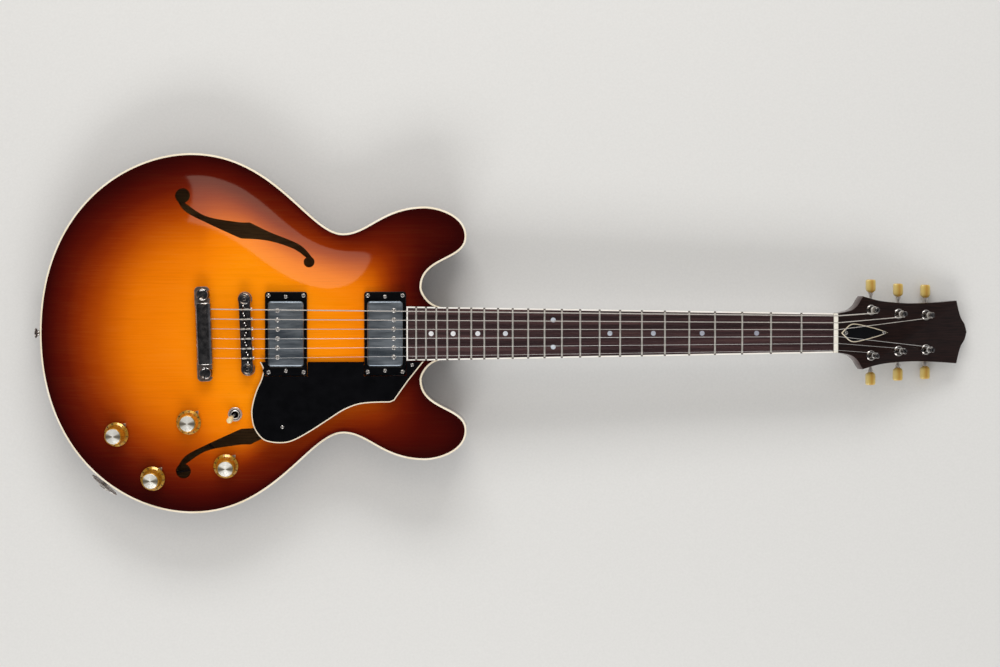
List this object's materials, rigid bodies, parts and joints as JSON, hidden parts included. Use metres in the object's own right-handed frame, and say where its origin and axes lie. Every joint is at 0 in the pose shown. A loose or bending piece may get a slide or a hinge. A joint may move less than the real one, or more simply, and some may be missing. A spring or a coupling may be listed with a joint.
{
  "type": "semi-hollow electric guitar",
  "caption": "Semi-hollow electric guitar: arched top with sound holes, centre block, angled neck and head, two covered pickups, slanted bridge, geared tuners, turning knobs and switch.",
  "frame": {"origin": "on the flat at the middle of the back, under the line of the saddles", "axes": "+X from the bridge towards the head, +Y towards the bass side, +Z out of the top"},
  "size_m": [1.0194, 0.387, 0.1197],
  "materials": {
    "stained_maple_top": "gloss",
    "stained_maple_shell": "gloss",
    "binding": "satin",
    "bare_maple": "raw",
    "mahogany": "gloss",
    "rosewood": "oiled",
    "bone": "polished",
    "black_plastic": "gloss",
    "nickel_plate": "aged polish",
    "plain_steel": "plain",
    "gold_plastic": "gloss",
    "cream_plastic": "gloss"
  },
  "bodies": {
    "guitar": {"top_plate": "stained_maple_top", "back_plate": "stained_maple_shell", "sides": "stained_maple_shell", "top_binding": "binding", "center_block": "bare_maple", "neck": "mahogany", "fingerboard": "rosewood", "nut": "bone", "truss_rod_cover": "black_plastic", "pickguard": "black_plastic", "bridge_pickup_ring": "black_plastic", "neck_pickup_ring": "black_plastic", "bridge_pickup": "nickel_plate", "neck_pickup": "nickel_plate", "bridge_base": "nickel_plate", "bridge_post_bass": "nickel_plate", "bridge_post_treble": "nickel_plate", "tailpiece": "nickel_plate", "tailpiece_stud_bass": "nickel_plate", "tailpiece_stud_treble": "nickel_plate", "output_jack": "nickel_plate", "strap_button_end": "nickel_plate", "strap_button_heel": "nickel_plate", "tuner_housing_1": "nickel_plate", "tuner_housing_2": "nickel_plate", "tuner_housing_3": "nickel_plate", "tuner_housing_4": "nickel_plate", "tuner_housing_5": "nickel_plate", "tuner_housing_6": "nickel_plate", "wiring_harness": "plain_steel", "switch_body": "plain_steel", "string_1": "plain_steel", "string_2": "plain_steel", "string_3": "plain_steel", "string_4": "plain_steel", "string_5": "plain_steel", "string_6": "plain_steel"},
    "tuner_button_1": {"tuner_button_1": "cream_plastic"},
    "tuner_post_1": {"tuner_post_1": "nickel_plate"},
    "saddle_1": {"saddle_1": "nickel_plate"},
    "tuner_button_2": {"tuner_button_2": "cream_plastic"},
    "tuner_post_2": {"tuner_post_2": "nickel_plate"},
    "saddle_2": {"saddle_2": "nickel_plate"},
    "tuner_button_3": {"tuner_button_3": "cream_plastic"},
    "tuner_post_3": {"tuner_post_3": "nickel_plate"},
    "saddle_3": {"saddle_3": "nickel_plate"},
    "tuner_button_4": {"tuner_button_4": "cream_plastic"},
    "tuner_post_4": {"tuner_post_4": "nickel_plate"},
    "saddle_4": {"saddle_4": "nickel_plate"},
    "tuner_button_5": {"tuner_button_5": "cream_plastic"},
    "tuner_post_5": {"tuner_post_5": "nickel_plate"},
    "saddle_5": {"saddle_5": "nickel_plate"},
    "tuner_button_6": {"tuner_button_6": "cream_plastic"},
    "tuner_post_6": {"tuner_post_6": "nickel_plate"},
    "saddle_6": {"saddle_6": "nickel_plate"},
    "knob_1": {"knob_1": "gold_plastic"},
    "knob_2": {"knob_2": "gold_plastic"},
    "knob_3": {"knob_3": "gold_plastic"},
    "knob_4": {"knob_4": "gold_plastic"},
    "switch_lever": {"switch_lever": "cream_plastic"}
  },
  "joints": [
    {"name": "tuner_button_1_turn", "type": "hinge", "parent": "guitar", "child": "tuner_button_1", "pos_m": [0.67577, 0.0248, -0.00696], "axis": [0, 1, 0], "continuous": true},
    {"name": "tuner_post_1_turn", "type": "hinge", "parent": "guitar", "child": "tuner_post_1", "pos_m": [0.67322, 0.0248, 0.01328], "axis": [0.3256, 0, 0.9455], "continuous": true, "deforming": ["string_1"]},
    {"name": "saddle_1_slide", "type": "slide", "parent": "guitar", "child": "saddle_1", "axis": [0.9991, 0.0419, 0], "range_m": [-0.0012, 0.0042]},
    {"name": "tuner_button_2_turn", "type": "hinge", "parent": "guitar", "child": "tuner_button_2", "pos_m": [0.70754, 0.0203, -0.0179], "axis": [0, 1, 0], "continuous": true},
    {"name": "tuner_post_2_turn", "type": "hinge", "parent": "guitar", "child": "tuner_post_2", "pos_m": [0.70499, 0.0203, 0.00234], "axis": [0.3256, 0, 0.9455], "continuous": true, "deforming": ["string_2"]},
    {"name": "saddle_2_slide", "type": "slide", "parent": "guitar", "child": "saddle_2", "axis": [0.9991, 0.0419, 0], "range_m": [-0.0021, 0.0033]},
    {"name": "tuner_button_3_turn", "type": "hinge", "parent": "guitar", "child": "tuner_button_3", "pos_m": [0.73941, 0.019, -0.02887], "axis": [0, 1, 0], "continuous": true},
    {"name": "tuner_post_3_turn", "type": "hinge", "parent": "guitar", "child": "tuner_post_3", "pos_m": [0.73685, 0.019, -0.00864], "axis": [0.3256, 0, 0.9455], "continuous": true, "deforming": ["string_3"]},
    {"name": "saddle_3_slide", "type": "slide", "parent": "guitar", "child": "saddle_3", "axis": [0.9991, 0.0419, 0], "range_m": [-0.0033, 0.0021]},
    {"name": "tuner_button_4_turn", "type": "hinge", "parent": "guitar", "child": "tuner_button_4", "pos_m": [0.73941, -0.019, -0.02887], "axis": [0, -1, 0], "continuous": true},
    {"name": "tuner_post_4_turn", "type": "hinge", "parent": "guitar", "child": "tuner_post_4", "pos_m": [0.73685, -0.019, -0.00864], "axis": [0.3256, 0, 0.9455], "continuous": true, "deforming": ["string_4"]},
    {"name": "saddle_4_slide", "type": "slide", "parent": "guitar", "child": "saddle_4", "axis": [0.9991, 0.0419, 0], "range_m": [-0.0019, 0.0035]},
    {"name": "tuner_button_5_turn", "type": "hinge", "parent": "guitar", "child": "tuner_button_5", "pos_m": [0.70754, -0.0203, -0.0179], "axis": [0, -1, 0], "continuous": true},
    {"name": "tuner_post_5_turn", "type": "hinge", "parent": "guitar", "child": "tuner_post_5", "pos_m": [0.70499, -0.0203, 0.00234], "axis": [0.3256, 0, 0.9455], "continuous": true, "deforming": ["string_5"]},
    {"name": "saddle_5_slide", "type": "slide", "parent": "guitar", "child": "saddle_5", "axis": [0.9991, 0.0419, 0], "range_m": [-0.0028, 0.0026]},
    {"name": "tuner_button_6_turn", "type": "hinge", "parent": "guitar", "child": "tuner_button_6", "pos_m": [0.67577, -0.0248, -0.00696], "axis": [0, -1, 0], "continuous": true},
    {"name": "tuner_post_6_turn", "type": "hinge", "parent": "guitar", "child": "tuner_post_6", "pos_m": [0.67322, -0.0248, 0.01328], "axis": [0.3256, 0, 0.9455], "continuous": true, "deforming": ["string_6"]},
    {"name": "saddle_6_slide", "type": "slide", "parent": "guitar", "child": "saddle_6", "axis": [0.9991, 0.0419, 0], "range_m": [-0.0039, 0.0015]},
    {"name": "knob_1_turn", "type": "hinge", "parent": "guitar", "child": "knob_1", "pos_m": [-0.142, -0.10782, 0.05666], "axis": [-0.1266, -0.1154, 0.9852], "range_deg": [0, 300]},
    {"name": "knob_2_turn", "type": "hinge", "parent": "guitar", "child": "knob_2", "pos_m": [-0.0639, -0.09451, 0.063], "axis": [-0.0032, -0.0683, 0.9977], "range_deg": [0, 300]},
    {"name": "knob_3_turn", "type": "hinge", "parent": "guitar", "child": "knob_3", "pos_m": [-0.1039, -0.15542, 0.05371], "axis": [-0.0495, -0.1299, 0.9903], "range_deg": [0, 300]},
    {"name": "knob_4_turn", "type": "hinge", "parent": "guitar", "child": "knob_4", "pos_m": [-0.0253, -0.14191, 0.05578], "axis": [0.0623, -0.1547, 0.986], "range_deg": [0, 300]},
    {"name": "switch_lever_rock", "type": "hinge", "parent": "guitar", "child": "switch_lever", "pos_m": [-0.01489, -0.08569, 0.05659], "axis": [-0.6538, 0.7506, 0.0958], "range_deg": [0, 34]}
  ],
  "couplings": [
    {"joint": "tuner_post_1_turn", "follows": "tuner_button_1_turn", "ratio": -0.071429},
    {"joint": "tuner_post_2_turn", "follows": "tuner_button_2_turn", "ratio": -0.071429},
    {"joint": "tuner_post_3_turn", "follows": "tuner_button_3_turn", "ratio": -0.071429},
    {"joint": "tuner_post_4_turn", "follows": "tuner_button_4_turn", "ratio": -0.071429},
    {"joint": "tuner_post_5_turn", "follows": "tuner_button_5_turn", "ratio": -0.071429},
    {"joint": "tuner_post_6_turn", "follows": "tuner_button_6_turn", "ratio": -0.071429}
  ]
}
